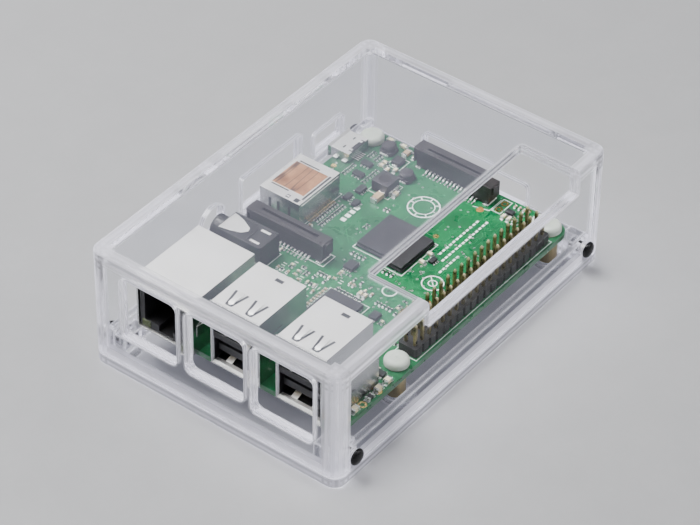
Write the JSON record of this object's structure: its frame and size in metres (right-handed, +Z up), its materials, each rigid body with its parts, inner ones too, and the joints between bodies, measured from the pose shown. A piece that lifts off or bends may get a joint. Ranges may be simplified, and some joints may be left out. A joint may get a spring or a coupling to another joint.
{
  "type": "single board computer",
  "caption": "Credit-card-size computer board on brass standoffs inside a clear two-part case with socket windows and a pin-header notch.",
  "frame": {"origin": "bottom centre of the case", "axes": "+X to the network and USB socket end, +Y to the pin-header side, +Z up from the flat underside"},
  "size_m": [0.0996, 0.0714, 0.0322],
  "materials": {
    "clear_plastic": "clear moulded polycarbonate, polished, faint cool tint",
    "green_board": "green solder mask over copper, white print",
    "tin_plate": "tin-plated sheet, satin",
    "black_plastic": "black moulded socket plastic with gold contacts",
    "brown_plastic": "dark moulded collar",
    "chip_epoxy": "black moulded epoxy",
    "brass": "turned brass, dull",
    "milky_nylon": "translucent natural nylon",
    "black_steel": "black oxide steel",
    "ferrite": "dark ferrite",
    "ceramic": "fired ceramic with tinned ends",
    "lamp_lens": "clear lamp lens",
    "card_plastic": "black card plastic"
  },
  "bodies": {
    "base": {"activity_lamp": "lamp_lens", "audio_socket": "black_plastic", "board_screw_audio_corner": "milky_nylon", "board_screw_header_corner": "milky_nylon", "board_screw_power_corner": "milky_nylon", "board_screw_usb_corner": "milky_nylon", "camera_connector_base": "black_plastic", "card_slot": "tin_plate", "case_base": "clear_plastic", "circuit_board": "green_board", "diode": "chip_epoxy", "display_connector_base": "black_plastic", "inductor_front": "ferrite", "inductor_rear": "ferrite", "inductor_side": "ferrite", "input_capacitor": "ceramic", "memory_chip": "chip_epoxy", "middle_chip": "chip_epoxy", "network_insert": "black_plastic", "network_shell": "tin_plate", "pin_header": "black_plastic", "power_insert": "black_plastic", "power_lamp": "lamp_lens", "power_shell": "tin_plate", "processor": "chip_epoxy", "side_chip": "chip_epoxy", "smoothing_capacitor": "ceramic", "standoff_audio_corner": "brass", "standoff_header_corner": "brass", "standoff_power_corner": "brass", "standoff_usb_corner": "brass", "usb_insert_inner": "black_plastic", "usb_insert_outer": "black_plastic", "usb_network_chip": "chip_epoxy", "usb_shell_inner": "tin_plate", "usb_shell_outer": "tin_plate", "video_insert": "black_plastic", "video_shell": "tin_plate"},
    "lid": {"case_lid": "clear_plastic"},
    "memory_card": {"memory_card": "card_plastic"},
    "camera_collar": {"camera_connector_collar": "brown_plastic"},
    "display_collar": {"display_connector_collar": "brown_plastic"},
    "side_screw_header_card": {"side_screw_header_card": "black_steel"},
    "side_screw_header_usb": {"side_screw_header_usb": "black_steel"},
    "side_screw_socket_card": {"side_screw_socket_card": "black_steel"},
    "side_screw_socket_usb": {"side_screw_socket_usb": "black_steel"}
  },
  "joints": [
    {"name": "lid_lift", "type": "slide", "parent": "base", "child": "lid", "axis": [0, 0, 1], "range_m": [0, 0.04]},
    {"name": "side_screw_header_card_out", "type": "slide", "parent": "base", "child": "side_screw_header_card", "axis": [0, 1, 0], "range_m": [0, 0.008]},
    {"name": "side_screw_header_usb_out", "type": "slide", "parent": "base", "child": "side_screw_header_usb", "axis": [0, 1, 0], "range_m": [0, 0.008]},
    {"name": "side_screw_socket_card_out", "type": "slide", "parent": "base", "child": "side_screw_socket_card", "axis": [0, -1, 0], "range_m": [0, 0.008]},
    {"name": "side_screw_socket_usb_out", "type": "slide", "parent": "base", "child": "side_screw_socket_usb", "axis": [0, -1, 0], "range_m": [0, 0.008]},
    {"name": "card_slide", "type": "slide", "parent": "base", "child": "memory_card", "axis": [-1, 0, 0], "range_m": [0, 0.016]},
    {"name": "camera_collar_slide", "type": "slide", "parent": "base", "child": "camera_collar", "axis": [0, 0, 1], "range_m": [0, 0.0013]},
    {"name": "display_collar_slide", "type": "slide", "parent": "base", "child": "display_collar", "axis": [0, 0, 1], "range_m": [0, 0.0013]}
  ]
}
